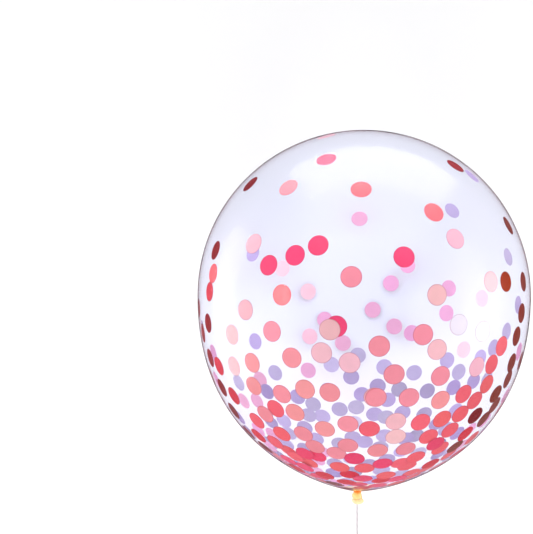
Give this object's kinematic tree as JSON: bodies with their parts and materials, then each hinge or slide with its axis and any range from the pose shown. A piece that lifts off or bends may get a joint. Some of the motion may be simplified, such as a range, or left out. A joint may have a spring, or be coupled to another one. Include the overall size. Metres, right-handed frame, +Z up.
{
  "type": "confetti balloon",
  "caption": "Clear round balloon lying on its side, tied in a knot with a string, with round foil confetti clinging to the inside of its skin.",
  "frame": {"origin": "on the surface that the balloon lies on, under the middle of its length and width, without its string", "axes": "+Y along the balloon's axis from the knot to the crown, +Z up, +X across"},
  "size_m": [0.45, 0.6554, 0.4455],
  "materials": {
    "clear_latex": "clear, thin and glossy, with a faint lavender tint",
    "knot_latex": "amber, where the latex is thick",
    "foil": "coral and pink metallic tissue discs",
    "string": "thin twisted cord, dull white",
    "band": "smooth white"
  },
  "bodies": {
    "root": {"balloon": "clear_latex", "string_tie": "string", "string_run": "string", "string_coil": "string", "coil_tie": "band"}
  },
  "joints": []
}
